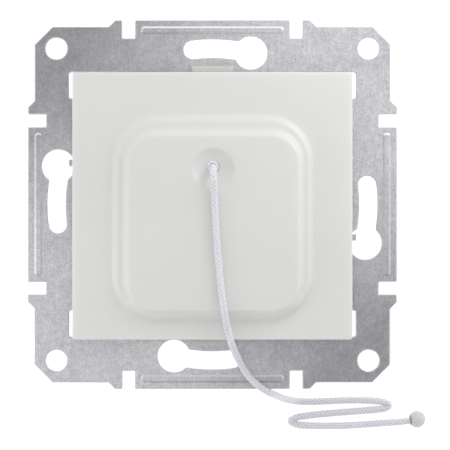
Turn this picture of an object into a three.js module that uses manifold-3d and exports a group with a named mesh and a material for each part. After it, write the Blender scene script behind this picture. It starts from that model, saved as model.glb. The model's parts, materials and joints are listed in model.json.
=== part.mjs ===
// Flush-mounted pull cord switch, lying on its back. Millimetres, +Z out of the front, +Y up the wall.
// The origin is on the surface the housing rests on, under the middle of the support frame.

import * as THREE from 'three';
import { mergeVertices } from 'three/addons/utils/BufferGeometryUtils.js';
import Module from 'manifold-3d';

const wasm = await Module();
wasm.setup();

// ---------------------------------------------------------------- driving dimensions

const GAP = 0.05;                 // between pieces that sit on each other

// support frame
const FRAME_HALF = 35.5;          // 71 mm standard frame
const FRAME_BACK = 24;            // height of the wall plane
const FRAME_THICK = 1;
const FRAME_FRONT = FRAME_BACK + FRAME_THICK;
const CORNER_INSET = 1.25;        // the corner areas stand back from the edge by this much
const SHOULDER = { from: 18.75, to: 20, corner: 30.75 };
const NOTCH = { near: 14.9, far: 17.3, depth: 3.5 };
const SLOT_RADIUS = 30;           // 60 mm screw circle
const SLOT_WIDTH = 3.5;
const KEYHOLE_RADIUS = 3.15;
const KEYHOLE_OUT = [0.1, 0.6, 0.1, 0.35];  // past the slot's line, by side: top, left, bottom, right
const SLOT_END_ANGLE = 7.2;       // degrees from the axis to the slot's round end
const KEYHOLE_ANGLE = 14.3;       // degrees from the axis to the keyhole
const CORNER_HOLE = { at: 30, radius: 2.05 };
const CUTOUT = { x0: 16.5, x1: 27.55, y0: 20.4, y1: 25.4, radius: 0.4 };
const RIB = { at: 33.5, half: 13.8, width: 1.52, height: 0.27, slope: 0.36, sunk: 0.02 };
const MOUTH = { halfX: 17, halfY: 17.5 };

// centre plate
const PLATE = { cx: 0, cy: -0.3, halfX: 26.75, halfY: 25.55, bottom: 26.5, face: 32, wall: 1.5 };
const PAD = { cx: 0.2, cy: -3.2, halfX: 16, halfY: 16.5, corner: 5.5, slope: 3.3, top: 34.2 };
const FUNNEL = { radius: 4.2, depth: 1.5, throat: 1.3 };

// cord and the axis it is pulled along
const CORD_X = 0.1;
const CORD_Y = 7.2;
const CORD_RADIUS = 0.62;
const CORD_BORE = 0.95;
const TRAVEL = 6;                 // pull of the cord and lift of the plunger
const BEAD_RADIUS = 1.67;

// housing
const HOUSING = { halfX: 20, halfY: 19.5, chamfer: 5, top: 23.7, wall: 1.5, floor: 2 };
const POST = { x: 15.5, y: 15, radius: 2.6 };
const CARRIER = { bottom: FRAME_FRONT + GAP, top: 27, halfX: 18.5, halfY: 20, tabHalf: 4.05 };
const TAB = { up: 26.6, down: -27.15, top: 26.2 };
const GUIDE_SEAT = { radius: 3.6, bore: 2.6, height: 2.5 };
const LATCH = { x: 11, y: 17.6, halfX: 3, halfY: 1, height: 2.6 };
const RIVET = { head: 2, shank: 1.05, hole: 1.15, bottom: 14 };
const GUIDE_RAIL = { gap: 0.3, thick: 1.4, top: 21 };
const CHEEK = { y0: 4.3, y1: 6.3, bottom: 15, top: 22, reach: 2.2 };
const VENT = { pitch: 3, half: 0.6, bottom: 6, top: 16 };

// plunger, contacts and terminals
const PLUNGER = { halfX: 4, y0: -6, y1: 11.3, bottom: 4, top: 17 };
const WINDOW = { y0: -4, y1: 1.5, bottom: 6, top: 13 };
const SPRING_SEAT = 14.3;
const POCKET = { radius: 2.3, top: 8 };
const KNOT_RADIUS = 1.7;
const BRIDGE = { halfX: 10.5, y0: -3.5, y1: 1, bottom: 12.1, thick: 0.8 };
const BRIDGE_Y = (BRIDGE.y0 + BRIDGE.y1) / 2;
const BRIDGE_FLOAT = 1;           // how far the bridge gives on its spring
const CONTACT_GAP = 0.3;          // left between the contacts at full pull
const TIP = { x: 8.5, radius: 1.5, thick: 0.8 };
const BLOCK = { x: 9, half: 3.5, y0: -17.3, y1: -10.3, thick: 8.9 };
const STRIP = { width: 4.2, thick: 0.8 };
const WIRE_RADIUS = 1.7;
const SET_SCREW = { drop: 4.5, head: 2.2, shank: 1.45, thread: 1.6, slot: 0.35 };

// heights that follow from the ones above
const BRIDGE_TOP = BRIDGE.bottom + BRIDGE.thick;
const STRIP_BOTTOM = BRIDGE_TOP + GAP + 2 * TIP.thick + (TRAVEL - BRIDGE_FLOAT) + CONTACT_GAP;
const BLOCK_TOP = STRIP_BOTTOM - GAP;
const BLOCK_BOTTOM = BLOCK_TOP - BLOCK.thick;
const BLOCK_Y = (BLOCK.y0 + BLOCK.y1) / 2;
const SET_SCREW_Z = BLOCK_TOP - SET_SCREW.drop;

// spreader claws
const CLAW = { y: 0.85, leg: 7.2, sheet: 1.2 };
const PIVOT = { x: 22, z: 19.5, radius: 1.1 };
const CLAW_SCREW = { x: 22, shank: 1.45, head: 2.5 };
const CLAW_NUT = { halfY: 3.6, bottom: 4, top: 7 };

// ---------------------------------------------------------------- solids

/** A closed three.js geometry as a solid that can be joined and cut. */
function solid(geometry) {
  geometry.deleteAttribute('normal');
  geometry.deleteAttribute('uv');
  const merged = mergeVertices(geometry, 1e-5);
  const vertProperties = new Float32Array(merged.attributes.position.array);
  const triVerts = new Uint32Array(merged.index.array);
  return new wasm.Manifold(new wasm.Mesh({ numProp: 3, vertProperties, triVerts }));
}

/** A solid back as a three.js geometry. */
function geometryOf(manifold) {
  const mesh = manifold.getMesh();
  const geometry = new THREE.BufferGeometry();
  geometry.setAttribute('position', new THREE.BufferAttribute(new Float32Array(mesh.vertProperties), 3));
  geometry.setIndex(new THREE.BufferAttribute(new Uint32Array(mesh.triVerts), 1));
  geometry.computeVertexNormals();
  return geometry;
}

function box(x0, x1, y0, y1, z0, z1) {
  const geometry = new THREE.BoxGeometry(x1 - x0, y1 - y0, z1 - z0);
  geometry.translate((x0 + x1) / 2, (y0 + y1) / 2, (z0 + z1) / 2);
  return solid(geometry);
}

/** A round bar along Z. */
function rod(x, y, z0, z1, radius, sides = 20) {
  const geometry = new THREE.CylinderGeometry(radius, radius, z1 - z0, sides);
  geometry.rotateX(Math.PI / 2);
  geometry.translate(x, y, (z0 + z1) / 2);
  return solid(geometry);
}

/** A round bar along Y. */
function rodY(x, z, y0, y1, radius, sides = 20) {
  const geometry = new THREE.CylinderGeometry(radius, radius, y1 - y0, sides);
  geometry.translate(x, (y0 + y1) / 2, z);
  return solid(geometry);
}

/** A flat outline extruded along Z from z0 to z1. */
function prism(shape, z0, z1, curveSegments = 8) {
  const geometry = new THREE.ExtrudeGeometry(shape, { depth: z1 - z0, bevelEnabled: false, curveSegments });
  geometry.translate(0, 0, z0);
  return solid(geometry);
}

/** An outline in X and Z extruded along Y from y0 to y1. */
function prismY(shape, y0, y1) {
  const geometry = new THREE.ExtrudeGeometry(shape, { depth: y1 - y0, bevelEnabled: false });
  geometry.rotateX(Math.PI / 2);
  geometry.translate(0, y1, 0);
  return solid(geometry);
}

/** A profile of [radius, height] points turned about a vertical axis. */
function lathe(profile, x, y, z, segments = 32) {
  const points = profile.map(([r, h]) => new THREE.Vector2(r, h));
  const geometry = new THREE.LatheGeometry(points, segments);
  geometry.rotateX(Math.PI / 2);
  geometry.translate(x, y, z);
  return solid(geometry);
}

function polygon(points) {
  return new THREE.Shape(points.map(([x, y]) => new THREE.Vector2(x, y)));
}

function roundedRect(cx, cy, halfX, halfY, radius) {
  const shape = new THREE.Shape();
  const corners = [[1, -1, -90], [1, 1, 0], [-1, 1, 90], [-1, -1, 180]];
  for (const [sx, sy, start] of corners) {
    const from = THREE.MathUtils.degToRad(start);
    const x = cx + sx * (halfX - radius);
    const y = cy + sy * (halfY - radius);
    shape.absarc(x, y, radius, from, from + Math.PI / 2, false);
  }
  return shape;
}

/** A tube with closed ends along a smooth curve through the points. */
function tube(points, radius, steps, sides = 8) {
  const places = points.map((p) => new THREE.Vector3(...p));
  const curve = new THREE.CatmullRomCurve3(places, false, 'centripetal');
  const section = new THREE.Shape();
  for (let i = 0; i < sides; i += 1) {
    const angle = (2 * Math.PI * i) / sides;
    const place = i === 0 ? 'moveTo' : 'lineTo';
    section[place](radius * Math.cos(angle), radius * Math.sin(angle));
  }
  return solid(new THREE.ExtrudeGeometry(section, { steps, extrudePath: curve, bevelEnabled: false }));
}

function union(parts) {
  return parts.reduce((sum, part) => sum.add(part));
}

function cut(body, tools) {
  return tools.reduce((rest, tool) => rest.subtract(tool), body);
}

// ---------------------------------------------------------------- materials

function material(color, roughness, metalness) {
  return new THREE.MeshStandardMaterial({ color, roughness, metalness });
}

const GALVANISED = material(0xa9a7ad, 0.45, 0.85);
const OFF_WHITE = material(0xe9e8e3, 0.5, 0);
const CARRIER_WHITE = material(0xd7d6d1, 0.55, 0);
const HOUSING_WHITE = material(0xdddcd6, 0.55, 0);
const BEAD_WHITE = material(0xeceae2, 0.45, 0);
const CORD_WHITE = material(0xdedde8, 0.85, 0);
const PLUNGER_RED = material(0xb5402f, 0.5, 0);
const BRASS = material(0xc9a24e, 0.3, 0.95);
const SILVER = material(0xd8d8d8, 0.25, 1);
const ZINC = material(0xb9bcc0, 0.35, 0.9);
const SPRING_STEEL = material(0x9a9ca0, 0.3, 0.95);

const model = new THREE.Group();

function add(name, body, look) {
  const mesh = new THREE.Mesh(geometryOf(body), look);
  mesh.name = name;
  model.add(mesh);
}

// ---------------------------------------------------------------- support frame

/** The outline of one side of the frame, left to right, with the side at the top. */
function sideOutline() {
  const inner = FRAME_HALF - CORNER_INSET;
  const floor = FRAME_HALF - NOTCH.depth;
  return [
    [-SHOULDER.corner, inner], [-SHOULDER.to, inner], [-SHOULDER.from, FRAME_HALF],
    [-NOTCH.far, FRAME_HALF], [-NOTCH.far, floor], [-NOTCH.near, floor], [-NOTCH.near, FRAME_HALF],
    [NOTCH.near, FRAME_HALF], [NOTCH.near, floor], [NOTCH.far, floor], [NOTCH.far, FRAME_HALF],
    [SHOULDER.from, FRAME_HALF], [SHOULDER.to, inner], [SHOULDER.corner, inner],
  ];
}

function frameOutline() {
  const points = [];
  for (let side = 0; side < 4; side += 1) {
    const turn = (side * Math.PI) / 2;
    for (const [x, y] of sideOutline().reverse()) {
      points.push([x * Math.cos(turn) - y * Math.sin(turn), x * Math.sin(turn) + y * Math.cos(turn)]);
    }
  }
  return polygon(points);
}

/** The arc slot with its keyhole, which lies out by a little more, for the side at the top. */
function arcSlot(low, high, out) {
  const start = THREE.MathUtils.degToRad(90 - KEYHOLE_ANGLE);
  const end = THREE.MathUtils.degToRad(90 + SLOT_END_ANGLE);
  const arc = new THREE.Shape();
  arc.absarc(0, 0, SLOT_RADIUS + SLOT_WIDTH / 2, start, end, false);
  arc.absarc(0, 0, SLOT_RADIUS - SLOT_WIDTH / 2, end, start, true);
  const x = SLOT_RADIUS * Math.cos(start);
  const y = SLOT_RADIUS * Math.sin(start);
  const capX = SLOT_RADIUS * Math.cos(end);
  const capY = SLOT_RADIUS * Math.sin(end);
  return union([
    prism(arc, low, high, 8),
    rod(capX, capY, low, high, SLOT_WIDTH / 2, 20),
    rod(x, y + out, low, high, KEYHOLE_RADIUS, 32),
  ]);
}

/** A pressed rib beside the top edge: a bar with sloped sides, sunk just below the base. */
function ribBar(base) {
  const ridge = RIB.width / 2 - RIB.slope;
  const outline = roundedRect(0, RIB.at, RIB.half - RIB.slope, ridge, ridge - 0.01);
  const geometry = new THREE.ExtrudeGeometry(outline, {
    depth: 0.01,
    bevelThickness: RIB.height,
    bevelSize: RIB.slope,
    bevelSegments: 1,
    curveSegments: 3,
  });
  geometry.translate(0, 0, base - RIB.sunk);
  return solid(geometry);
}

const CORNERS = [[1, 1], [-1, 1], [-1, -1], [1, -1]];

function supportFrame() {
  const low = FRAME_BACK - 1;
  const high = FRAME_FRONT + 1;
  let frame = prism(frameOutline(), FRAME_BACK, FRAME_FRONT);
  for (let side = 0; side < 4; side += 1) {
    const turn = 90 * side;
    frame = frame.add(ribBar(FRAME_FRONT).rotate([0, 0, turn]));
    frame = frame.subtract(ribBar(FRAME_BACK).rotate([0, 0, turn]));
    frame = frame.subtract(arcSlot(low, high, KEYHOLE_OUT[side]).rotate([0, 0, turn]));
    const [sx, sy] = CORNERS[side];
    const { at, radius } = CORNER_HOLE;
    frame = frame.subtract(rod(sx * at, sy * at, low, high, radius, 24));
    const cx = (sx * (CUTOUT.x0 + CUTOUT.x1)) / 2;
    const cy = (sy * (CUTOUT.y0 + CUTOUT.y1)) / 2;
    const halfX = (CUTOUT.x1 - CUTOUT.x0) / 2;
    const halfY = (CUTOUT.y1 - CUTOUT.y0) / 2;
    frame = frame.subtract(prism(roundedRect(cx, cy, halfX, halfY, CUTOUT.radius), low, high, 3));
  }
  const mouth = prism(roundedRect(0, 0, MOUTH.halfX, MOUTH.halfY, 1.5), low, high, 4);
  const screwHoles = [-1, 1].map((s) => rod(s * CLAW_SCREW.x, CLAW.y, low, high, CLAW_SCREW.shank + 0.3));
  return cut(frame, [mouth, ...screwHoles]);
}

add('support_frame', supportFrame(), GALVANISED);

// ---------------------------------------------------------------- centre plate

/** A raised pad with soft sides, from the plate's face up. */
function pad(grow, base, top) {
  const height = top - base;
  const outline = roundedRect(PAD.cx, PAD.cy, PAD.halfX + grow, PAD.halfY + grow, PAD.corner + grow);
  const geometry = new THREE.ExtrudeGeometry(outline, {
    depth: 0.01,
    bevelThickness: height,
    bevelSize: PAD.slope,
    bevelSegments: 4,
    curveSegments: 4,
  });
  geometry.translate(0, 0, base);
  return solid(geometry);
}

function centrePlate() {
  const { cx, cy, halfX, halfY, wall } = PLATE;
  const outer = box(cx - halfX, cx + halfX, cy - halfY, cy + halfY, PLATE.bottom, PLATE.face);
  const hollow = box(
    cx - halfX + wall, cx + halfX - wall, cy - halfY + wall, cy + halfY - wall,
    PLATE.bottom - 1, PLATE.face - wall,
  );
  const above = box(cx - halfX, cx + halfX, cy - halfY, cy + halfY, PLATE.face - 0.5, PAD.top + 1);
  const within = box(cx - halfX, cx + halfX, cy - halfY, cy + halfY, PLATE.bottom, PAD.top + 1);
  const raised = pad(0, PLATE.face, PAD.top - 0.01).intersect(above);
  const padHollow = pad(-0.6, PLATE.face - wall, PAD.top - wall).intersect(within);
  const collar = rod(CORD_X, CORD_Y, PAD.top - FUNNEL.depth - 1.5, PAD.top - 1, FUNNEL.radius + 1, 32);
  const funnel = lathe(
    [[0, 0.5], [FUNNEL.radius, 0.5], [FUNNEL.radius, 0], [3.2, -0.25], [2.2, -0.75],
      [FUNNEL.throat, -FUNNEL.depth], [FUNNEL.throat, -6], [0, -6]].reverse(),
    CORD_X, CORD_Y, PAD.top,
  );
  return outer.subtract(hollow).add(raised).subtract(padHollow).add(collar).subtract(funnel);
}

add('centre_plate', centrePlate(), OFF_WHITE);

// ---------------------------------------------------------------- carrier, guide, housing, rivets

function frontCarrier() {
  const { bottom, top, halfX, halfY, tabHalf } = CARRIER;
  const body = prism(roundedRect(0, 0, halfX, halfY, 2), bottom, top, 4);
  const tabs = box(-tabHalf, tabHalf, TAB.down, TAB.up, bottom, TAB.top);
  const guideSeat = rod(CORD_X, CORD_Y, top - 0.5, top + GUIDE_SEAT.height, GUIDE_SEAT.radius, 32);
  const latches = [];
  for (const sx of [-1, 1]) {
    for (const sy of [-1, 1]) {
      const x = sx * LATCH.x;
      const y = sy * LATCH.y;
      latches.push(box(
        x - LATCH.halfX, x + LATCH.halfX, y - LATCH.halfY, y + LATCH.halfY, top - 0.5, top + LATCH.height,
      ));
    }
  }
  const seatBore = rod(CORD_X, CORD_Y, top, top + 3, GUIDE_SEAT.bore);
  const bore = rod(CORD_X, CORD_Y, bottom - 1, top + 3, CORD_BORE);
  const rivetHoles = rivetPlaces().map(([x, y]) => rod(x, y, bottom - 1, top + 1, RIVET.hole, 20));
  return cut(union([body, tabs, guideSeat, ...latches]), [seatBore, bore, ...rivetHoles]);
}

function rivetPlaces() {
  return CORNERS.map(([sx, sy]) => [sx * POST.x, sy * POST.y]);
}

add('front_carrier', frontCarrier(), CARRIER_WHITE);

const GUIDE_BASE = CARRIER.top + GAP;
const GUIDE_TOP = 33.1;
add('cord_guide', lathe(
  [[0.75, 0], [2.5, 0], [2.5, 1.6], [1, 2.4], [1, GUIDE_TOP - GUIDE_BASE - 0.15],
    [0.87, GUIDE_TOP - GUIDE_BASE], [0.75, GUIDE_TOP - GUIDE_BASE - 0.1], [0.75, 0]],
  CORD_X, CORD_Y, GUIDE_BASE, 24,
), BEAD_WHITE);

function chamferedBox(halfX, halfY, chamfer, z0, z1) {
  const x = halfX - chamfer;
  const y = halfY - chamfer;
  const outline = [
    [halfX, -y], [halfX, y], [x, halfY], [-x, halfY], [-halfX, y], [-halfX, -y], [-x, -halfY], [x, -halfY],
  ];
  return prism(polygon(outline), z0, z1);
}

function inOrder(a, b) {
  return a < b ? [a, b] : [b, a];
}

/** The two cheeks and trunnions that one claw hangs on, on the side s of the housing. */
function clawCheeks(s) {
  const x = inOrder(s * (HOUSING.halfX - 0.5), s * (PIVOT.x + CHEEK.reach));
  const parts = [];
  for (const t of [-1, 1]) {
    const y = inOrder(CLAW.y + t * CHEEK.y0, CLAW.y + t * CHEEK.y1);
    const stub = inOrder(CLAW.y + t * (CHEEK.y1 - 1), CLAW.y + t * (CHEEK.y1 + 2));
    parts.push(box(...x, ...y, CHEEK.bottom, CHEEK.top));
    parts.push(rodY(s * PIVOT.x, PIVOT.z, ...stub, PIVOT.radius));
  }
  return union(parts);
}

/** The pillar that carries one terminal block, with its wire hole and screwdriver hole. */
function terminalPillar(s) {
  const { x, half, y0, y1 } = BLOCK;
  return box(s * x - half, s * x + half, y0, y1, HOUSING.floor - 0.5, BLOCK_BOTTOM - GAP);
}

function rearHousing() {
  const { halfX, halfY, chamfer, top, wall, floor } = HOUSING;
  const shell = chamferedBox(halfX, halfY, chamfer, 0, top)
    .subtract(chamferedBox(halfX - wall, halfY - wall, chamfer - 0.6, floor, top + 1));
  const posts = rivetPlaces().map(([x, y]) => rod(x, y, floor - 0.5, top, POST.radius, 20));
  const rails = [];
  for (const s of [-1, 1]) {
    const inner = PLUNGER.halfX + GUIDE_RAIL.gap;
    const x = inOrder(s * inner, s * (inner + GUIDE_RAIL.thick));
    rails.push(box(...x, 2.5, 10.5, floor - 0.5, GUIDE_RAIL.top));
    rails.push(box(...x, PLUNGER.y0, -4.4, floor - 0.5, GUIDE_RAIL.top));
  }
  for (const [face, t] of [[PLUNGER.y1, 1], [PLUNGER.y0, -1]]) {
    const y = inOrder(face + t * GUIDE_RAIL.gap, face + t * (GUIDE_RAIL.gap + GUIDE_RAIL.thick));
    rails.push(box(-5, 5, ...y, floor - 0.5, GUIDE_RAIL.top));
  }
  const pillars = [-1, 1].map(terminalPillar);
  const cheeks = [-1, 1].map(clawCheeks);
  const wireHoles = [-1, 1].map((s) => rod(s * BLOCK.x, BLOCK_Y, -1, BLOCK_BOTTOM + 1, WIRE_RADIUS + 0.2));
  const driverHoles = [-1, 1].map((s) => rodY(s * BLOCK.x, SET_SCREW_Z, -halfY - 1, BLOCK.y0 - 0.1, 2.6));
  const rivetHoles = rivetPlaces().map(([x, y]) => rod(x, y, RIVET.bottom - 2, top + 1, RIVET.hole, 20));
  const vents = [-2, -1, 0, 1, 2].map((i) => {
    const x = i * VENT.pitch;
    return box(x - VENT.half, x + VENT.half, halfY - 2, halfY + 1, VENT.bottom, VENT.top);
  });
  return cut(
    union([shell, ...posts, ...rails, ...pillars, ...cheeks]),
    [...wireHoles, ...driverHoles, ...rivetHoles, ...vents],
  );
}

add('rear_housing', rearHousing(), HOUSING_WHITE);

rivetPlaces().forEach(([x, y], i) => {
  const dome = [[0, 0], [RIVET.head, 0], [1.8, 0.5], [1.1, 0.85], [0, 0.85]];
  const head = lathe(dome, x, y, CARRIER.top + GAP, 20);
  const shank = rod(x, y, RIVET.bottom, CARRIER.top + 0.3, RIVET.shank, 20);
  add(`cover_rivet_${i + 1}`, head.add(shank), ZINC);
});

// ---------------------------------------------------------------- plunger, springs, bridge

function pullPlunger() {
  const { halfX, y0, y1, bottom, top } = PLUNGER;
  const body = box(-halfX, halfX, y0, y1, bottom, top);
  const window = box(-halfX - 1, halfX + 1, WINDOW.y0, WINDOW.y1, WINDOW.bottom, WINDOW.top);
  const bore = rod(CORD_X, CORD_Y, bottom - 1, top + 1, CORD_BORE);
  const pocket = rod(CORD_X, CORD_Y, bottom - 1, POCKET.top, POCKET.radius);
  const seat = rod(CORD_X, CORD_Y, SPRING_SEAT, top + 1, 3.1);
  const nick = 0.8;
  const corners = [-1, 1].map((s) => {
    return box(s * halfX - nick, s * halfX + nick, y0 - 1, y0 + nick, bottom - 1, top + 1);
  });
  return cut(body, [window, bore, pocket, seat, ...corners]);
}

add('pull_plunger', pullPlunger(), PLUNGER_RED);

/** A compression spring: a wire on a vertical helix, with its ends closed up. */
function coilSpring(x, y, z0, z1, meanRadius, wire, turns) {
  const perTurn = 8;
  const points = [];
  const low = z0 + wire;
  const high = z1 - wire;
  for (let i = 0; i <= turns * perTurn; i += 1) {
    const angle = (2 * Math.PI * i) / perTurn;
    const share = i / (turns * perTurn);
    const eased = share - 0.1 * Math.sin(2 * Math.PI * share);
    const height = low + (high - low) * eased;
    points.push([x + meanRadius * Math.cos(angle), y + meanRadius * Math.sin(angle), height]);
  }
  return tube(points, wire, turns * perTurn, 6);
}

const returnSpring = coilSpring(CORD_X, CORD_Y, SPRING_SEAT + GAP, CARRIER.bottom - GAP, 2.3, 0.3, 7);
const contactSpring = coilSpring(0, BRIDGE_Y, WINDOW.bottom + GAP, BRIDGE.bottom - GAP, 1.5, 0.22, 5);
add('return_spring', returnSpring, SPRING_STEEL);
add('contact_spring', contactSpring, SPRING_STEEL);

add('contact_bridge', prism(
  polygon([
    [-BRIDGE.halfX, -3], [-4.6, BRIDGE.y0], [4.6, BRIDGE.y0], [BRIDGE.halfX, -3],
    [BRIDGE.halfX, 0.5], [4.6, BRIDGE.y1], [-4.6, BRIDGE.y1], [-BRIDGE.halfX, 0.5],
  ]),
  BRIDGE.bottom, BRIDGE_TOP,
), BRASS);

const SIDES = [['left', -1], ['right', 1]];

/** A fixed strip: flat over the bridge's end, running down to the top of the terminal block. */
function contactStrip(s) {
  const half = STRIP.width / 2;
  const outline = polygon([
    [s * TIP.x - half, 1], [s * TIP.x - half, -9], [s * BLOCK.x - half, BLOCK.y0 + 0.6],
    [s * BLOCK.x + half, BLOCK.y0 + 0.6], [s * TIP.x + half, -9], [s * TIP.x + half, 1],
  ]);
  return prism(outline, STRIP_BOTTOM, STRIP_BOTTOM + STRIP.thick);
}

/** A brass pillar terminal: a block with a wire bore from below and a threaded hole from the side. */
function terminalBlock(s) {
  const { x, half, y0, y1 } = BLOCK;
  const block = box(s * x - half, s * x + half, y0, y1, BLOCK_BOTTOM, BLOCK_TOP);
  const wire = rod(s * x, BLOCK_Y, BLOCK_BOTTOM - 1, BLOCK_TOP - 1.5, WIRE_RADIUS);
  const thread = rodY(s * x, SET_SCREW_Z, y0 - 1, BLOCK_Y, SET_SCREW.thread);
  return cut(block, [wire, thread]);
}

/** A screw along Y with a slotted head that faces -Y. */
function terminalScrew(s) {
  const x = s * BLOCK.x;
  const head = rodY(x, SET_SCREW_Z, BLOCK.y0 - 1.9, BLOCK.y0 - 0.2, SET_SCREW.head);
  const shank = rodY(x, SET_SCREW_Z, BLOCK.y0 - 0.5, BLOCK_Y - 0.6, SET_SCREW.shank);
  const z = [SET_SCREW_Z - SET_SCREW.slot, SET_SCREW_Z + SET_SCREW.slot];
  const slot = box(x - 2.5, x + 2.5, BLOCK.y0 - 2.5, BLOCK.y0 - 1.1, ...z);
  return head.add(shank).subtract(slot);
}

function contactTip(s, bottom) {
  return rod(s * TIP.x, BRIDGE_Y, bottom, bottom + TIP.thick, TIP.radius);
}

for (const [side, s] of SIDES) {
  add(`moving_contact_${side}`, contactTip(s, BRIDGE_TOP + GAP), SILVER);
  add(`fixed_contact_${side}`, contactTip(s, STRIP_BOTTOM - GAP - TIP.thick), SILVER);
  add(`contact_strip_${side}`, contactStrip(s), BRASS);
  add(`terminal_block_${side}`, terminalBlock(s), BRASS);
  add(`terminal_screw_${side}`, terminalScrew(s), ZINC);
}

// ---------------------------------------------------------------- spreader claws

/** One leg of a claw in X and Z, on the right-hand side: ear, arm and toothed foot. */
const CLAW_LEG = [
  [20.4, 21.4], [27.7, 21.4], [27.7, 20.2], [24.4, 18.2], [26.6, 9.2], [27.9, 8.6],
  [27.2, 7.9], [28.1, 7.2], [25.2, 6.6], [22.6, 17.4], [20.4, 17.6],
];

/** The web that joins the legs, in X and Z: a slanted wall that the nut pushes. */
const CLAW_WEB = [[25.3, 14], [24.1, 14], [25.8, 7.2], [27, 7.2]];

function claw(s) {
  const mirror = ([x, z]) => [s * x, z];
  const half = CLAW.sheet / 2;
  const legs = [-1, 1].map((t) => {
    const y = CLAW.y + t * CLAW.leg;
    return prismY(polygon(CLAW_LEG.map(mirror)), y - half, y + half);
  });
  const web = prismY(polygon(CLAW_WEB.map(mirror)), CLAW.y - CLAW.leg, CLAW.y + CLAW.leg);
  const pivot = rodY(s * PIVOT.x, PIVOT.z, CLAW.y - 9, CLAW.y + 9, PIVOT.radius + 0.15);
  return cut(union([...legs, web]), [pivot]);
}

function clawScrew(s) {
  const x = s * CLAW_SCREW.x;
  const head = rod(x, CLAW.y, FRAME_FRONT + 0.1, FRAME_FRONT + 1.3, CLAW_SCREW.head);
  const shank = rod(x, CLAW.y, 3, FRAME_FRONT + 0.5, CLAW_SCREW.shank);
  const slot = box(x - 3, x + 3, CLAW.y - 0.35, CLAW.y + 0.35, FRAME_FRONT + 0.7, FRAME_FRONT + 2);
  return head.add(shank).subtract(slot);
}

/** The nut that climbs the claw screw; its outer face leans with the claw's web. */
function clawNut(s) {
  const { halfY, bottom, top } = CLAW_NUT;
  const outline = [[20.3, bottom], [20.3, top], [24.6, top], [24.6, bottom + 1], [23.6, bottom]];
  const body = prismY(polygon(outline.map(([x, z]) => [s * x, z])), CLAW.y - halfY, CLAW.y + halfY);
  return body.subtract(rod(s * CLAW_SCREW.x, CLAW.y, bottom - 1, top + 1, CLAW_SCREW.shank + 0.1));
}

for (const [side, s] of SIDES) {
  add(`claw_${side}`, claw(s), ZINC);
  add(`claw_screw_${side}`, clawScrew(s), ZINC);
  add(`claw_nut_${side}`, clawNut(s), ZINC);
}

// ---------------------------------------------------------------- cord, knot and bead

const KNOT_Z = POCKET.top - 0.3 - KNOT_RADIUS;
const INNER_TOP = 26.4;
const NECK_BOTTOM = INNER_TOP + 0.3;

add('cord_knot', lathe(
  [[0, -1.5], [1, -1.45], [KNOT_RADIUS, -0.6], [KNOT_RADIUS, 0.6], [1, 1.45], [0, 1.6]],
  CORD_X, CORD_Y, KNOT_Z, 12,
), CORD_WHITE);
add('pull_cord_inner', rod(CORD_X, CORD_Y, KNOT_Z + 1.9, INNER_TOP, CORD_RADIUS, 8), CORD_WHITE);

/** From inside the carrier, up through the guide and over onto the pad. */
const NECK_ROUTE = [
  [CORD_X, CORD_Y, NECK_BOTTOM], [CORD_X, CORD_Y, 30], [CORD_X, CORD_Y, GUIDE_TOP],
  [0.15, 6.3, 35], [0.3, 4.5, 35.4],
];

/** Down over the plate and the frame, off its edge, and along the surface below in an S. */
const OUTER_ROUTE = [
  [0.35, 4.1, 35.35], [0.4, 1.95, 35.02], [0.89, -7.2, 34.92], [1.71, -16.3, 34.92],
  [2.17, -19.75, 34.9], [2.57, -22.05, 34.25], [2.89, -23.6, 33.35], [3.31, -25.1, 33.05],
  [3.56, -26.3, 32.85], [3.85, -27.1, 31.9], [4.48, -28.65, 29.6], [6.15, -31.8, 27],
  [7.29, -33.35, 26.25], [9, -34.9, 25.9], [10.4, -35.85, 25.6], [11.05, -36.25, 24.9],
  [11.86, -36.65, 22.5], [14.35, -38, 8], [16.8, -38.65, 1.2], [18.6, -38.77, 0.68],
  [27.4, -38.45, 0.68], [31.5, -38.55, 0.68], [33.75, -38.83, 0.68], [34.75, -39.47, 0.68],
  [33.75, -40.1, 0.68], [31.5, -40.37, 0.68], [23.9, -40.97, 0.68], [18.8, -41.45, 0.68],
  [16.35, -41.88, 0.68], [15.35, -42.55, 0.68], [16.35, -43.22, 0.68], [18.8, -43.47, 0.68],
  [25, -43.5, 0.68], [32.2, -43.05, 0.72], [38.2, -42.55, 1.5],
];

const BEAD = [40.2, -42.15, BEAD_RADIUS];
const BEAD_TURN = 0.24;           // the bead's mouth faces the cord

add('pull_cord_neck', tube(NECK_ROUTE, CORD_RADIUS, 12), CORD_WHITE);
add('pull_cord_outer', tube(OUTER_ROUTE, CORD_RADIUS, 100), CORD_WHITE);

/** A ball with a small mouth on the side the cord comes from. */
function endBead() {
  const ball = new THREE.SphereGeometry(BEAD_RADIUS, 16, 10);
  ball.translate(...BEAD);
  const mouth = new THREE.CylinderGeometry(0.8, 0.8, 1.6, 16);
  mouth.rotateZ(Math.PI / 2);
  mouth.translate(-BEAD_RADIUS, 0, 0);
  mouth.rotateZ(BEAD_TURN);
  mouth.translate(...BEAD);
  return solid(ball).subtract(solid(mouth));
}

add('end_bead', endBead(), BEAD_WHITE);

export default model;
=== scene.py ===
import itertools
import json
import math

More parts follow.
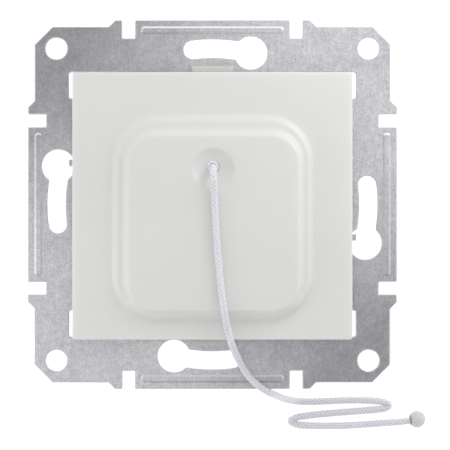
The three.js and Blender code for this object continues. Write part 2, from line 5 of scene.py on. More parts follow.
import bmesh
import bpy
import numpy as np
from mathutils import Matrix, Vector


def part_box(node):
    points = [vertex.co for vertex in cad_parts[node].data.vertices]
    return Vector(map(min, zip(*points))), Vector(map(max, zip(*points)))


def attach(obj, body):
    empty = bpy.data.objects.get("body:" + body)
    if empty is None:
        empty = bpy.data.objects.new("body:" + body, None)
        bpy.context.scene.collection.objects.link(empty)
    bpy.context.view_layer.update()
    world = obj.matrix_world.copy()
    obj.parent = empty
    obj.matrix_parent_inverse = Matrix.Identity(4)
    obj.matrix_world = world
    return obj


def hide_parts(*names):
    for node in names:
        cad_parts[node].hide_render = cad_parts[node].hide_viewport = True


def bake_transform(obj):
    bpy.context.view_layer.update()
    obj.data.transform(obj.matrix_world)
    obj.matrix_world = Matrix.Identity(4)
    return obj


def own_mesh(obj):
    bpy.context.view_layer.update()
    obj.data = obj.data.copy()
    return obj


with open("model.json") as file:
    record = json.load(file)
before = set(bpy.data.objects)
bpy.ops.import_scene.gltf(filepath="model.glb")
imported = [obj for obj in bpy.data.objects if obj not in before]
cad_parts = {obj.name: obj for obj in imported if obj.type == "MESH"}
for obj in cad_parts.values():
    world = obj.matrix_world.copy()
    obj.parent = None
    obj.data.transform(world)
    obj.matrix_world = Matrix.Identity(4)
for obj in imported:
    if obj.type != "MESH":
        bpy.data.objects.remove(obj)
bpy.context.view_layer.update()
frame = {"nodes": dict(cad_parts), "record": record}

# A flush-mounted pull cord switch on its back, seen from straight above.
# Metres and +Z out of the plate, as in the frame. MM turns millimetres into metres.

MM = 0.001

RECORD = frame["record"]
BEHAVIOUR = RECORD["behaviour"]
SLOTS = {part["node"]: part["material_slot"] for part in RECORD["subparts"]}
BODIES = {node: body for body, nodes in BEHAVIOUR["bodies"].items() for node in nodes}
MOUNTS = {mount["name"]: Vector(mount["pos_m"]) for mount in RECORD["mounts"]}
FRAME_FRONT = MOUNTS["cover_seat"].z

# ---------------------------------------------------------------- camera

CAMERA_HEIGHT = 1.0            # above the front of the support frame
VIEW_WIDTH = 86.54 * MM        # how much of the frame's plane the picture takes in
VIEW_CENTRE = (2.41 * MM, -3.95 * MM)
SENSOR = 36.0


def make_camera():
    data = bpy.data.cameras.new("camera")
    data.sensor_width = SENSOR
    data.lens = SENSOR * CAMERA_HEIGHT / VIEW_WIDTH
    data.clip_start = 0.05
    data.clip_end = 10
    camera = bpy.data.objects.new("camera", data)
    camera.location = (*VIEW_CENTRE, FRAME_FRONT + CAMERA_HEIGHT)
    bpy.context.scene.collection.objects.link(camera)
    bpy.context.scene.camera = camera


make_camera()

# ---------------------------------------------------------------- node helpers


class Nodes:
    """Short ways to add nodes to a node tree."""

    def __init__(self, tree):
        self.tree = tree

    def node(self, kind, **settings):
        made = self.tree.nodes.new(kind)
        for key, value in settings.items():
            setattr(made, key, value)
        return made

    def link(self, output, target):
        self.tree.links.new(output, target)

    def axes(self, vector):
        """The X, Y and Z of a vector."""
        split = self.node("ShaderNodeSeparateXYZ")
        self.link(vector, split.inputs["Vector"])
        return split.outputs

    def ramp(self, factor, stops):
        """A colour ramp; stops are (position, (r, g, b))."""
        ramp = self.node("ShaderNodeValToRGB")
        elements = ramp.color_ramp.elements
        while len(elements) < len(stops):
            elements.new(0.5)
        for element, (position, colour) in zip(elements, stops):
            element.position = position
            element.color = (*colour, 1)
        self.link(factor, ramp.inputs["Fac"])
        return ramp.outputs["Color"]

    def remap(self, value, source=(0, 1), target=(0, 1)):
        """A value that runs over the target span as the given one runs over the source span."""
        remap = self.node("ShaderNodeMapRange")
        remap.inputs["From Min"].default_value, remap.inputs["From Max"].default_value = source
        remap.inputs["To Min"].default_value, remap.inputs["To Max"].default_value = target
        self.link(value, remap.inputs["Value"])
        return remap.outputs["Result"]

    def mix(self, first, second, factor, blend="MIX"):
        """Two colours blended; the factor is a number or an output."""
        mix = self.node("ShaderNodeMix", data_type="RGBA", blend_type=blend)
        self.link(first, mix.inputs["A"])
        self.link(second, mix.inputs["B"])
        if isinstance(factor, bpy.types.NodeSocket):
            self.link(factor, mix.inputs["Factor"])
        else:
            mix.inputs["Factor"].default_value = factor
        return mix.outputs["Result"]


class Look(Nodes):
    """A material with one Principled shader, textured in its object's own coordinates."""

    def __init__(self, name, **values):
        self.material = bpy.data.materials.new(name)
        self.material.use_nodes = True
        super().__init__(self.material.node_tree)
        self.shader = self.tree.nodes["Principled BSDF"]
        self.place = self.node("ShaderNodeTexCoord").outputs["Object"]
        for key, value in values.items():
            self.shader.inputs[key.replace("_", " ")].default_value = value

    def noise(self, size, detail, roughness=0.55, stretch=(1, 1, 1)):
        """Noise whose blotches are about size metres across, drawn out along an axis by stretch."""
        mapping = self.node("ShaderNodeMapping")
        mapping.inputs["Scale"].default_value = [1 / (size * s) for s in stretch]
        self.link(self.place, mapping.inputs["Vector"])
        noise = self.node("ShaderNodeTexNoise")
        noise.inputs["Scale"].default_value = 1
        noise.inputs["Detail"].default_value = detail
        noise.inputs["Roughness"].default_value = roughness
        self.link(mapping.outputs["Vector"], noise.inputs["Vector"])
        return noise.outputs["Fac"]

    def attribute(self, name):
        return self.node("ShaderNodeAttribute", attribute_name=name).outputs["Fac"]

    def colour(self, output):
        self.link(output, self.shader.inputs["Base Color"])

    def roughness(self, value, smoothest, roughest):
        self.link(self.remap(value, target=(smoothest, roughest)), self.shader.inputs["Roughness"])

    def bump(self, *heights):
        """Bumps one over the other; heights are (output, depth in metres)."""
        normal = None
        for output, depth in heights:
            bump = self.node("ShaderNodeBump")
            bump.inputs["Strength"].default_value = 1
            bump.inputs["Distance"].default_value = depth
            self.link(output, bump.inputs["Height"])
            if normal is not None:
                self.link(normal, bump.inputs["Normal"])
            normal = bump.outputs["Normal"]
        self.link(normal, self.shader.inputs["Normal"])


# ---------------------------------------------------------------- materials

WHITE = (1, 1, 1)
PLASTIC = {
    "IOR": 1.5, "Subsurface_Weight": 0.25, "Subsurface_Scale": 2.5 * MM, "Subsurface_Radius": (1, 0.9, 0.8),
}
SMUDGE_TONES = [(0.33, (0.88, 0.87, 0.91)), (0.5, (0.96, 0.955, 0.99)), (0.66, (1.0, 0.995, 1.0))]
# Painted reflection on the galvanised sheet: its colour is darkened towards two opposite corners and
# lightened towards the other two
PAINTED_REFLECTION_PRODUCTS = (-0.0009, 0.0006)        # x times y in square metres, from the corners with painted shade to those with painted reflection
PAINTED_REFLECTION_TONES = [(0.1, (0.56, 0.56, 0.565)), (0.35, (0.76, 0.76, 0.77)), (0.8, WHITE)]
# The strands' own near-white on their crowns, darkening to a painted shade of lilac-grey in the grooves
# between them
STRAND_TONES_AND_GROOVE_SHADE = [(0.15, (0.60, 0.59, 0.66)), (0.5, (0.76, 0.755, 0.81)), (0.8, (0.87, 0.87, 0.90))]
FIBRE_TONES = [(0.3, (0.84, 0.84, 0.88)), (0.7, WHITE)]


def moulded_plastic(name, light, dark, roughness, **values):
    """Moulded plastic: a fine spark-eroded grain, faint flow marks and faint changes of tone."""
    look = Look(name, **{**PLASTIC, **values})
    tone = look.mix(look.noise(12 * MM, 3), look.noise(0.9 * MM, 5), 0.35)
    grain = look.noise(0.12 * MM, 3, 0.7)
    look.colour(look.ramp(tone, [(0.3, dark), (0.7, light)]))
    look.roughness(look.noise(4 * MM, 4), roughness - 0.05, roughness + 0.06)
    look.bump((look.noise(6 * MM, 2), 0.016 * MM), (grain, 0.004 * MM))
    return look.material


def painted_reflection_tones(look):
    """Painted reflection: grey tones that rise with x times y, so that opposite corners match."""
    x, y, _ = look.axes(look.place)
    product = look.node("ShaderNodeMath", operation="MULTIPLY")
    look.link(x, product.inputs[0])
    look.link(y, product.inputs[1])
    return look.ramp(look.remap(product.outputs["Value"], source=PAINTED_REFLECTION_PRODUCTS), PAINTED_REFLECTION_TONES)


def galvanised_sheet():
    """Stamped galvanised sheet: matt zinc with fine grey mottling, darker smudges and rolling marks.

    A painted reflection darkens the colour towards two opposite corners and lightens it towards the other
    two."""
    look = Look("galvanised_sheet", Metallic=0.7, IOR=1.6)
    smudges = look.noise(5 * MM, 6, 0.6)
    mottle = look.noise(1.1 * MM, 6, 0.8)
    grains = look.noise(0.22 * MM, 3, 0.8)
    rolled = look.noise(0.5 * MM, 4, 0.65, stretch=(1, 7, 1))
    base = look.ramp(smudges, SMUDGE_TONES)
    for layer, darkest, share in ((mottle, 0.72, 0.75), (rolled, 0.8, 0.5), (grains, 0.56, 0.8)):
        dark = (darkest, darkest, darkest + 0.02)
        base = look.mix(base, look.ramp(layer, [(0.34, dark), (0.64, WHITE)]), share, "MULTIPLY")
    # painted reflection: the colour darkened towards two opposite corners and lightened towards the other two
    look.colour(look.mix(base, painted_reflection_tones(look), 1.0, "MULTIPLY"))
    look.roughness(look.mix(smudges, mottle, 0.5), 0.26, 0.46)
    look.bump((mottle, 0.014 * MM), (rolled, 0.008 * MM), (grains, 0.008 * MM))
    return look.material


def burnish_and_painted_highlight(name, dark, light):
    """Zinc worn smooth by the press, for the cut edges and the ribs' slopes that face sideways; a pale copy
    is the painted highlight on the ribs' slopes that face +Y.
    """
    look = Look(name, Metallic=0.35, IOR=1.6)
    worn = look.noise(0.8 * MM, 5, 0.7)
    look.colour(look.ramp(worn, [(0.35, dark), (0.6, light)]))
    look.roughness(worn, 0.22, 0.42)
    look.bump((worn, 0.006 * MM))
    return look.material


def plated_metal(name, light, dark, roughness):
    """Bright plated or bare metal with a fine drawn grain and a few dull patches."""
    look = Look(name, Metallic=1)
    patches = look.noise(1.6 * MM, 5, 0.6)
    grain = look.noise(0.16 * MM, 3, 0.6, stretch=(1, 1, 6))
    look.colour(look.ramp(look.mix(patches, grain, 0.4), [(0.3, dark), (0.7, light)]))
    look.roughness(patches, roughness - 0.07, roughness + 0.12)
    look.bump((patches, 0.006 * MM), (grain, 0.003 * MM))
    return look.material


def braided_polyester():
    """Braided cord: white strands with a painted shade, lilac-grey, in the grooves where they dive under, and
    a faint fibre grain.
    """
    look = Look(
        "braided_polyester", Sheen_Weight=0.15, Sheen_Roughness=0.5, IOR=1.45,
        Subsurface_Weight=0.5, Subsurface_Scale=0.6 * MM, Subsurface_Radius=WHITE,
    )
    fibres = look.noise(0.09 * MM, 3, 0.7)
    # painted shade: the colour darkens to lilac-grey where the strand height falls into the grooves
    tones = look.ramp(look.attribute("strand"), STRAND_TONES_AND_GROOVE_SHADE)
    look.colour(look.mix(tones, look.ramp(fibres, FIBRE_TONES), 0.6, "MULTIPLY"))
    look.roughness(fibres, 0.6, 0.85)
    look.bump((fibres, 0.02 * MM))
    return look.material


GALVANISED = galvanised_sheet()
BURNISHED = burnish_and_painted_highlight("burnished_edge", (0.56, 0.56, 0.59), (0.72, 0.72, 0.74))
# A painted highlight: pale zinc put only on the ribs' slopes that face +Y, as if lit
RIB_PAINTED_HIGHLIGHT = burnish_and_painted_highlight("rib_painted_highlight", (0.86, 0.86, 0.91), (0.97, 0.97, 1.0))
PLATE = moulded_plastic("plate_plastic", (0.798, 0.796, 0.781), (0.766, 0.764, 0.749), 0.38)
GUIDE = moulded_plastic("guide_plastic", (0.95, 0.945, 0.965), (0.92, 0.915, 0.94), 0.35)
BEAD = moulded_plastic(
    "bead_plastic", (0.71, 0.71, 0.70), (0.67, 0.67, 0.66), 0.42, Subsurface_Weight=0, Specular_IOR_Level=0.25
)
CORD = braided_polyester()
STEEL = plated_metal("spring_steel", (0.55, 0.56, 0.58), (0.4, 0.41, 0.43), 0.25)

# What the pieces shaped by detailed() are made of, by their slots in the record
SLOT_MATERIALS = {
    "carrier_plastic": moulded_plastic("carrier_plastic", (0.66, 0.655, 0.63), (0.61, 0.605, 0.58), 0.42),
    "housing_plastic": moulded_plastic("housing_plastic", (0.72, 0.715, 0.69), (0.67, 0.665, 0.64), 0.4),
    "plunger_plastic": moulded_plastic("plunger_plastic", (0.42, 0.07, 0.04), (0.36, 0.055, 0.03), 0.4),
    "zinc_steel": plated_metal("zinc_steel", (0.72, 0.73, 0.75), (0.55, 0.56, 0.58), 0.32),
    "brass": plated_metal("brass", (0.80, 0.60, 0.28), (0.66, 0.46, 0.2), 0.28),
    "silver": plated_metal("silver", (0.9, 0.9, 0.9), (0.78, 0.78, 0.78), 0.2),
}

# ---------------------------------------------------------------- mesh helpers


def link_object(name, data):
    made = bpy.data.objects.new(name, data)
    bpy.context.scene.collection.objects.link(made)
    return made


def new_object(name, vertices, faces, material):
    mesh = bpy.data.meshes.new(name)
    mesh.from_pydata([tuple(v) for v in vertices], [], faces)
    mesh.update()
    mesh.materials.append(material)
    mesh.shade_smooth()
    return link_object(name, mesh)


def ring(centre, side, up, radii):
    """Points round a centre, each at its own radius."""
    turn = 2 * math.pi / len(radii)
    return [centre + (side * math.cos(k * turn) + up * math.sin(k * turn)) * r for k, r in enumerate(radii)]


def loft(name, rings, material, closed=False):
    """A closed mesh through rings of points: a ring of one point is a tip, and other ends are capped."""
    starts = list(itertools.accumulate((len(points) for points in rings), initial=0))
    sides = max(len(points) for points in rings)

    def corner(i, k):
        i %= len(rings)
        return starts[i] + k % len(rings[i])

    faces = []
    for i in range(len(rings) if closed else len(rings) - 1):
        for k in range(sides):
            quad = (corner(i, k), corner(i, k + 1), corner(i + 1, k + 1), corner(i + 1, k))
            faces.append(tuple(dict.fromkeys(quad)))
    if not closed and len(rings[0]) > 1:
        faces.append(tuple(reversed(range(sides))))
    if not closed and len(rings[-1]) > 1:
        faces.append(tuple(range(starts[-2], starts[-1])))
    return new_object(name, itertools.chain(*rings), faces, material)


def sharpen(piece, angle=38):
    """Smooth shading, with edges sharper than the angle left crisp."""
    edit = bmesh.new()
    edit.from_mesh(piece.data)
    limit = math.radians(angle)
    for face in edit.faces:
        face.smooth = True
    for edge in edit.edges:
        edge.smooth = edge.is_boundary or edge.calc_face_angle(0) < limit
    edit.to_mesh(piece.data)
    edit.free()


def apply_modifiers(piece):
    graph = bpy.context.evaluated_depsgraph_get()
    mesh = bpy.data.meshes.new_from_object(piece.evaluated_get(graph))
    piece.modifiers.clear()
    piece.data = mesh


def round_edges(piece, width, segments, angle, material_index=-1, clamp=True):
    """Break every edge sharper than an angle."""
    rounding = piece.modifiers.new("edges", "BEVEL")
    rounding.width = width
    rounding.segments = segments
    rounding.limit_method = "ANGLE"
    rounding.angle_limit = math.radians(angle)
    rounding.use_clamp_overlap = clamp
    rounding.material = material_index
    apply_modifiers(piece)


def stand_in(piece, node):
    """The piece moves with a CAD node's body and stands in the node's place; the node is hidden."""
    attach(piece, BODIES[node])
    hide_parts(node)


def cleaned_copy(node, *materials):
    """A copy of a CAD node with its flat faces merged, as a new object with its own materials."""
    edit = bmesh.new()
    edit.from_mesh(frame["nodes"][node].data)
    bmesh.ops.remove_doubles(edit, verts=edit.verts, dist=0.0001 * MM)
    bmesh.ops.dissolve_limit(edit, angle_limit=math.radians(1), verts=edit.verts, edges=edit.edges)
    mesh = bpy.data.meshes.new(node + "_detail")
    edit.to_mesh(mesh)
    edit.free()
    for material in materials:
        mesh.materials.append(material)
    return link_object(node + "_detail", mesh)


def finish_copy(piece, node, crease=38):
    """Smooth shading that leaves flat faces flat, and the CAD node's place."""
    sharpen(piece, crease)
    weighted = piece.modifiers.new("normals", "WEIGHTED_NORMAL")
    weighted.keep_sharp = True
    apply_modifiers(piece)
    stand_in(piece, node)


def detailed(node, bevel, clamp=True):
    """A finer copy of a CAD node with its edges broken by bevel millimetres, in place of the node."""
    piece = cleaned_copy(node, SLOT_MATERIALS[SLOTS[node]])
    round_edges(piece, bevel * MM, 2, 32, clamp=clamp)
    finish_copy(piece, node)


def carried_frames(line):
    """(point, side, up, distance along) at each point of a line, without twist."""
    frames = []
    side = None
    along = 0.0
    for i, point in enumerate(line):
        ahead = (line[min(i + 1, len(line) - 1)] - line[max(i - 1, 0)]).normalized()
        if side is None:
            side = ahead.orthogonal().normalized()
        side = (side - ahead * side.dot(ahead)).normalized()
        if i:
            along += (point - line[i - 1]).length
        frames.append((point, side, ahead.cross(side), along))
    return frames


def tube(name, line, sides, material, radius_at):
    """A closed tube along a line; radius_at(share of the way, distance along, angle) gives its surface."""
    frames = carried_frames(line)
    total = frames[-1][3]
    angles = [2 * math.pi * k / sides for k in range(sides)]
    rings = [
        ring(point, side, up, [radius_at(along / total, along, angle) for angle in angles])
        for point, side, up, along in frames
    ]
    return loft(name, rings, material)


# ---------------------------------------------------------------- cord

# The same route as the CAD model's, from inside the carrier to the bead, in millimetres
CORD_ROUTE = [
    (0.1, 7.2, 26.7), (0.1, 7.2, 30), (0.1, 7.2, 33.1), (0.15, 6.3, 35), (0.3, 4.5, 35.4),
    (0.35, 4.1, 35.35), (0.4, 1.95, 35.02), (0.89, -7.2, 34.92), (1.71, -16.3, 34.92), (2.17, -19.75, 34.9),
    (2.57, -22.05, 34.25), (2.89, -23.6, 33.35), (3.31, -25.1, 33.05), (3.56, -26.3, 32.85),
    (3.85, -27.1, 31.9), (4.48, -28.65, 29.6), (6.15, -31.8, 27), (7.29, -33.35, 26.25),
    (9, -34.9, 25.9), (10.4, -35.85, 25.6), (11.05, -36.25, 24.9), (11.86, -36.65, 22.5),
    (14.35, -38, 8), (16.8, -38.65, 1.2), (18.6, -38.77, 0.68), (27.4, -38.45, 0.68),
    (31.5, -38.55, 0.68), (33.75, -38.83, 0.68), (34.75, -39.47, 0.68), (33.75, -40.1, 0.68),
    (31.5, -40.37, 0.68), (23.9, -40.97, 0.68), (18.8, -41.45, 0.68), (16.35, -41.88, 0.68),
    (15.35, -42.55, 0.68), (16.35, -43.22, 0.68), (18.8, -43.47, 0.68), (25, -43.5, 0.68),
    (32.2, -43.05, 0.72), (38.2, -42.55, 1.5), (39, -42.42, 1.62),
]
CORD_STEP = 0.1 * MM           # how finely the route is followed
CORD_SIDES = 24
CORD_RADIUS = 0.62 * MM
CROWN_RADIUS = 0.69 * MM       # the crowns of the strands stand out past the plain cord
CHEVRON = 0.80 * MM            # length of one V of the braid
COLUMNS = 4                    # columns of Vs round the cord
STRAND_DEPTH = 0.10 * MM
TAPER_FROM = 0.994             # share of the way at which the cord starts to narrow into what holds it
TAPER = 0.35


def route_points(points, step):
    """Points about step apart on a smooth centripetal curve through the given ones."""
    p = [Vector(q) for q in points]
    p = [p[0] * 2 - p[1]] + p + [p[-1] * 2 - p[-2]]
    line = []
    for a, b, c, d in zip(p, p[1:], p[2:], p[3:]):
        t0, t1, t2 = (max(math.sqrt((v - u).length), 1e-6) for u, v in ((a, b), (b, c), (c, d)))
        m1 = ((b - a) / t0 - (c - a) / (t0 + t1) + (c - b) / t1) * t1
        m2 = ((c - b) / t1 - (d - b) / (t1 + t2) + (d - c) / t2) * t1
        count = max(1, round((c - b).length / step))
        for i in range(count):
            t = i / count
            line.append(
                b * (2 * t**3 - 3 * t**2 + 1) + m1 * (t**3 - 2 * t**2 + t)
                + c * (3 * t**2 - 2 * t**3) + m2 * (t**3 - t**2)
            )
    line.append(p[-2].copy())
    return line


def braid(along, angle):
    """How far out a strand is, 0 in the grooves to 1 on its crown: columns of Vs, a little uneven."""
    loose = 0.07 * math.sin(along / MM * 2.3) + 0.05 * math.sin(along / MM * 7.1 + angle)
    turn = (angle / (2 * math.pi) * COLUMNS + loose) % 1
    slope = abs(2 * turn - 1)
    crown = abs(math.cos(math.pi * (along / CHEVRON + slope * 0.9 + loose)))
    seam = min(1.0, 5 * min(slope, 1 - slope))
    return crown**0.6 * (0.55 + 0.45 * seam)


def braided_tube(name, line, sides=CORD_SIDES, taper=TAPER):
    """A braided cord along a line; its material reads the height of the strands as an attribute, for the
    painted shade in the grooves.
    """
    heights = []

    def surface(share, along, angle):
        height = braid(along, angle)
        heights.append(height)
        narrowing = taper * max(0.0, share - TAPER_FROM) / (1 - TAPER_FROM)
        return (CROWN_RADIUS - STRAND_DEPTH * (1 - height)) * (1 - narrowing)

    piece = tube(name, line, sides, CORD, surface)
    strand = piece.data.attributes.new("strand", "FLOAT", "POINT")
    strand.data.foreach_set("value", np.array(heights, np.float32))
    return piece


CORD_LINE = route_points([Vector(p) * MM for p in CORD_ROUTE], CORD_STEP)
pull_cord = braided_tube("pull_cord_braid", CORD_LINE)
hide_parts("pull_cord_neck", "pull_cord_outer")

# ---------------------------------------------------------------- bead

BEAD_SIDES = 64
BEAD_STEPS = 40
BEAD_BORE = 0.86 * MM          # radius of the cord's hole
BEAD_MOUTH = 1.02 * MM         # radius of its countersunk mouth
BEAD_TURN = 0.1                # radians anticlockwise from +X, for the way from the mouth to the far side
BEAD_TILT = 0.22               # radians that it points down
SEAM_HEIGHT = 0.012 * MM       # of the parting line
SEAM_WIDTH = 0.05 * MM


def round_bead():
    """The moulded end bead: a ball with a countersunk mouth, a parting line and the cord's hole in it."""
    low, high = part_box("end_bead")
    radius = (high.z - low.z) / 2
    centre = (low + high) / 2
    centre.x = high.x - radius
    profile = [(0, -0.45 * radius), (0.98 * BEAD_BORE, -0.45 * radius), (BEAD_BORE, -0.7 * radius)]
    for angle in np.linspace(math.asin(BEAD_MOUTH / radius), math.pi, BEAD_STEPS + 1)[:-1]:
        height = -radius * math.cos(angle)
        seam = SEAM_HEIGHT * math.exp(-((height / SEAM_WIDTH) ** 2))
        profile.append((radius * math.sin(angle) + seam, height))
    profile.append((0, radius))
    side = Vector((-math.sin(BEAD_TURN), math.cos(BEAD_TURN), 0))
    toward = Vector((side.y * math.cos(BEAD_TILT), -side.x * math.cos(BEAD_TILT), -math.sin(BEAD_TILT)))
    rings = [
        ring(centre + toward * height, side, toward.cross(side), [size] * (BEAD_SIDES if size else 1))
        for size, height in profile
    ]
    piece = loft("end_bead_ball", rings, BEAD)
    sharpen(piece, 50)
    stand_in(piece, "end_bead")
    return piece


bead = round_bead()
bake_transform(pull_cord)

# ---------------------------------------------------------------- centre plate, in millimetres

SIDE_POINTS = 36
ARC_POINTS = 20
PLATE_WALL = 1.5               # thickness of the plate
PLATE_EDGE = 0.22              # rounding of its top edge
PAD_HEIGHT = 2.2
PAD_FOOT = {"x": (-19.4, 19.4), "y": (-22.5, 17.4), "corner": 9.2}
PAD_SHOULDER = {"x": (-15.8, 16.3), "y": (-20.0, 12.9), "corner": 5.0}
FUNNEL = {"x": 0.2, "y": 6.68, "radius": 4.05, "depth": 1.0}
THROAT = {"y": 7.2, "radius": 1.02}        # the hole at the funnel's bottom, a little off its middle


def rounded_loop(x, y, corner):
    """Points round a rounded rectangle, the same number on every side and in every corner."""
    arcs = []
    for px, py, start in ((x[1], y[0], -90), (x[1], y[1], 0), (x[0], y[1], 90), (x[0], y[0], 180)):
        cx = px - math.copysign(corner, px - (x[0] + x[1]) / 2)
        cy = py - math.copysign(corner, py - (y[0] + y[1]) / 2)
        angles = np.radians(start + 90 * np.arange(ARC_POINTS + 1) / ARC_POINTS)
        arcs.append(np.stack([cx + corner * np.cos(angles), cy + corner * np.sin(angles)], 1))
    loop = []
    for arc, following in zip(arcs, arcs[1:] + arcs[:1]):
        loop += [arc, np.linspace(arc[-1], following[0], SIDE_POINTS + 1)[1:-1]]
    return np.concatenate(loop)


def circle_loop(toward, cx, cy, radius):
    """A circle whose points lie in the direction of another loop's points."""
    angles = np.arctan2(toward[:, 1] - cy, toward[:, 0] - cx)
    return np.stack([cx + radius * np.cos(angles), cy + radius * np.sin(angles)], 1)


def smooth(low, high, t):
    t = min(1.0, max(0.0, (t - low) / (high - low)))
    return t * t * (3 - 2 * t)


def pad_wall(t):
    """The pad's side from its foot to its shoulder: a low step, a gentle slope and a rounded upper step."""
    return 0.30 * smooth(0, 0.36, t) + 0.24 * t + 0.46 * smooth(0.58, 1, t)


def funnel_levels(shoulder, bottom, top):
    """The hole up from the plate's underside, and the funnel's bowl."""
    hole = circle_loop(shoulder, FUNNEL["x"], THROAT["y"], THROAT["radius"])
    levels = [(hole, bottom), (hole, top - FUNNEL["depth"] - 0.2)]
    narrowest = THROAT["radius"] + 0.1
    for t in np.linspace(0, 1, 13):
        radius = narrowest + (FUNNEL["radius"] - narrowest) * t
        middle_y = THROAT["y"] + (FUNNEL["y"] - THROAT["y"]) * t
        bowl = circle_loop(shoulder, FUNNEL["x"], middle_y, radius)
        levels.append((bowl, top - 0.03 - FUNNEL["depth"] * (1 - t * t)))
    return levels


def pad_levels(shoulder, foot, face, top):
    """The pad's top from the funnel's brim out, and its side, which is one long soft slope at the low end."""
    brim = circle_loop(shoulder, FUNNEL["x"], FUNNEL["y"], FUNNEL["radius"] + 0.14)
    levels = [(brim + (shoulder - brim) * t, top) for t in np.linspace(0, 0.9, 10)]
    outward = foot - shoulder
    low_end = np.clip(-1.4 * outward[:, 1] / np.linalg.norm(outward, axis=1), 0, 1)
    for t in np.linspace(0, 1, 23):
        rise = pad_wall(1 - t) * (1 - low_end) + smooth(-0.15, 1, 1 - t) * low_end
        levels.append((shoulder + outward * t, face + PAD_HEIGHT * rise))
    return levels


def rim_levels(foot, low, high, face):
    """The plate's flat border, its rounded edge, its side and its underside."""

    def outline(inset, corner):
        return rounded_loop((low.x + inset, high.x - inset), (low.y + inset, high.y - inset), corner)

    flat = outline(PLATE_EDGE, 0.3)
    levels = [(foot + (flat - foot) * i / 9, face) for i in range(1, 9)]
    for angle in np.linspace(0, math.pi / 2, 5):
        out = PLATE_EDGE * math.sin(angle)
        down = PLATE_EDGE * (1 - math.cos(angle))
        levels.append((outline(PLATE_EDGE - out, 0.3 + out), face - down))
    return levels + [
        (outline(0, 0.5), low.z + 0.15),
        (outline(0.15, 0.4), low.z),
        (outline(PLATE_WALL - 0.1, 0.3), low.z),
        (outline(PLATE_WALL, 0.3), low.z + 0.1),
        (outline(PLATE_WALL, 0.3), face - PLATE_WALL),
    ]


def centre_plate():
    """The plate as one closed skin: loops from the funnel out, over the rim and back underneath."""
    low, high = (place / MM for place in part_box("centre_plate"))
    face = high.z - PAD_HEIGHT
    shoulder = rounded_loop(**PAD_SHOULDER)
    foot = rounded_loop(**PAD_FOOT)
    levels = funnel_levels(shoulder, face - PLATE_WALL, high.z)
    levels += pad_levels(shoulder, foot, face, high.z)
    levels += rim_levels(foot, low, high, face)
    rings = [
        [(x * MM, y * MM, z * MM) for (x, y), z in zip(points, np.broadcast_to(heights, len(points)))]
        for points, heights in reversed(levels)
    ]
    piece = loft("centre_plate_shell", rings, PLATE, closed=True)
    sharpen(piece, 34)
    stand_in(piece, "centre_plate")


centre_plate()

# ---------------------------------------------------------------- cord guide

GUIDE_SIDES = 64
GUIDE_BORE = 0.74 * MM
GUIDE_SHAFT = 0.98 * MM
GUIDE_FLANGE = 2.5 * MM
GUIDE_LIP = 1.09 * MM
LIP_ROUNDING = 0.21 * MM


def cord_guide():
    """The white bush the cord runs through: a flange inside the carrier, a shaft and a rounded lip."""
    low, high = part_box("cord_guide")
    middle = (low + high) / 2
    lip = high.z + 0.25 * MM
    profile = [
        (GUIDE_BORE, low.z), (GUIDE_FLANGE, low.z), (GUIDE_FLANGE, low.z + 1.6 * MM),
        (GUIDE_SHAFT, low.z + 2.4 * MM), (GUIDE_SHAFT, lip - LIP_ROUNDING),
    ]
    for angle in np.linspace(-1, math.pi, 14):
        radius = GUIDE_LIP - LIP_ROUNDING * (1 - math.cos(angle))
        profile.append((radius, lip + LIP_ROUNDING * math.sin(angle)))
    side, up = Vector((1, 0, 0)), Vector((0, 1, 0))
    rings = [ring(Vector((*middle.xy, z)), side, up, [radius] * GUIDE_SIDES) for radius, z in profile]
    piece = loft("cord_guide_bush", rings, GUIDE, closed=True)
    sharpen(piece)
    stand_in(piece, "cord_guide")


cord_guide()

# ---------------------------------------------------------------- support frame and the other pieces


def support_frame():
    """The stamped frame, with rolled-over cut edges in burnished zinc; its ribs' slopes that face +Y get a
    pale painted highlight, and those facing sideways the burnished colour.
    """
    galvanised, burnished, painted_highlight = range(3)
    piece = cleaned_copy("support_frame", GALVANISED, BURNISHED, RIB_PAINTED_HIGHLIGHT)
    round_edges(piece, 0.22 * MM, 3, 60, burnished, clamp=False)
    # Painted highlight: rib slopes facing +Y are coloured pale as if lit; slopes facing sideways take the
    # burnished edge colour
    for face in piece.data.polygons:
        if 0.7 < face.normal.z < 0.9 and face.normal.y > -0.3:
            face.material_index = painted_highlight if face.normal.y > 0.3 else burnished
    finish_copy(piece, "support_frame", 28)


support_frame()
detailed("front_carrier", 0.2)
detailed("rear_housing", 0.12, clamp=False)        # its shortest edges would clamp the rounding to nothing
detailed("pull_plunger", 0.2)
for number in range(1, 5):
    detailed(f"cover_rivet_{number}", 0.08)
for hand in ("left", "right"):
    for name in ("claw", "claw_nut", "claw_screw", "terminal_screw", "contact_strip", "terminal_block"):
        detailed(f"{name}_{hand}", 0.1)
    for name in ("moving_contact", "fixed_contact"):
        detailed(f"{name}_{hand}", 0.12)
detailed("contact_bridge", 0.1)


def shorten(piece):
    """Give a piece a mesh of its own."""
    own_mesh(piece)


def coil_spring(node, turns, wire):
    """A coil spring that fills its CAD node's box."""
    low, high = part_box(node)
    middle = (low + high) / 2
    mean = (high.x - low.x) / 2 - wire
    line = []
    for share in np.linspace(0, 1, turns * 32 + 1):
        eased = share - 0.1 * math.sin(2 * math.pi * share)
        angle = 2 * math.pi * turns * share
        z = low.z + wire + (high.z - low.z - 2 * wire) * eased
        line.append(Vector((middle.x + mean * math.cos(angle), middle.y + mean * math.sin(angle), z)))
    piece = tube(node + "_coil", line, 12, STEEL, lambda share, along, angle: wire)
    stand_in(piece, node)
    shorten(piece)


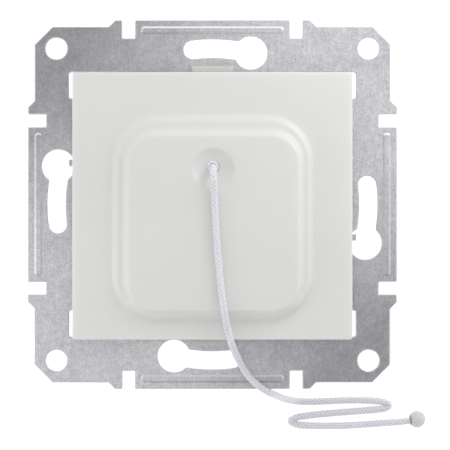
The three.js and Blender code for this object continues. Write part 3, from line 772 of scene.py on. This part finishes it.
def inner_cord():
    """The cord inside the switch, from the knot up to the carrier."""
    low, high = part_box("pull_cord_inner")
    middle = (low + high) / 2
    line = route_points([(*middle.xy, low.z), (*middle.xy, high.z)], CORD_STEP)
    piece = braided_tube("inner_cord_braid", line)
    stand_in(piece, "pull_cord_inner")
    shorten(piece)


def cord_knot():
    """An overhand knot under the plunger: a trefoil of the same braid."""
    low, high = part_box("cord_knot")
    middle = (low + high) / 2
    size = (high.x - low.x) / 2 - CORD_RADIUS
    line = []
    for a in np.linspace(0, 2 * math.pi, 240, endpoint=False):
        swing = (math.sin(a) + 2 * math.sin(2 * a)) / 3
        sway = (math.cos(a) - 2 * math.cos(2 * a)) / 3
        line.append(middle + Vector((swing * size, sway * size, math.sin(3 * a) * size * 0.8)))
    stand_in(braided_tube("cord_knot_trefoil", line, sides=20, taper=0), "cord_knot")


coil_spring("return_spring", 7, 0.3 * MM)
coil_spring("contact_spring", 5, 0.22 * MM)
inner_cord()
cord_knot()

# ---------------------------------------------------------------- stage and light

FLOOR_REACH = 0.9
FLOOR_Z = -0.05 * MM           # a hair under the housing, so that the two don't share a plane

# The tent's brightness by the Z of the direction, from the horizon and below (0) to straight overhead (1)
TENT_BRIGHT = [(0.0, 0.9), (0.4, 0.9), (0.72, 0.85), (0.9, 0.7), (1.0, 0.75)]
TENT_DARK = [(0.0, 0.4), (0.4, 0.4), (0.72, 0.5), (0.9, 0.7), (1.0, 0.75)]
DARK_WALL_ENDS = (-0.9, -0.6)  # Y of the direction where the dark wall starts to lighten, and ends


def floor():
    """A plain white surface under the switch, bright enough to be pure white in the picture."""
    look = Look("floor_white", Roughness=0.9, Emission_Color=(1, 1, 1, 1), Emission_Strength=0.42)
    look.colour(look.ramp(look.noise(200 * MM, 1), [(0, (0.93, 0.93, 0.93)), (1, (0.95, 0.95, 0.95))]))
    corners = [(x * FLOOR_REACH, y * FLOOR_REACH, FLOOR_Z) for x, y in ((-1, -1), (1, -1), (1, 1), (-1, 1))]
    new_object("floor", corners, [(0, 1, 2, 3)], look.material)


def area_light(name, place, size, power):
    """A square soft light at a place, aimed at the middle of the switch."""
    data = bpy.data.lights.new(name, "AREA")
    data.size = size
    data.energy = power
    light = link_object(name, data)
    light.location = place
    light.rotation_mode = "QUATERNION"
    light.rotation_quaternion = (Vector((0, 0, FRAME_FRONT)) - Vector(place)).to_track_quat("-Z", "Y")


def tent():
    """A light tent: bright walls at the top and sides, a dark one at the bottom, a soft panel overhead."""
    world = bpy.data.worlds.new("tent")
    world.use_nodes = True
    nodes = Nodes(world.node_tree)
    _, y, z = nodes.axes(nodes.node("ShaderNodeTexCoord").outputs["Generated"])
    dark, bright = (
        nodes.ramp(z, [(height, (strength, strength, strength)) for height, strength in stops])
        for stops in (TENT_DARK, TENT_BRIGHT)
    )
    walls = nodes.mix(dark, bright, nodes.remap(y, source=DARK_WALL_ENDS))
    nodes.link(walls, world.node_tree.nodes["Background"].inputs["Color"])
    bpy.context.scene.world = world


floor()
area_light("key", (0.085, 0.08, 0.085), size=0.06, power=0.042)
area_light("left", (-0.12, -0.03, 0.065), size=0.07, power=0.02)
tent()
bpy.context.scene.view_settings.view_transform = "Standard"
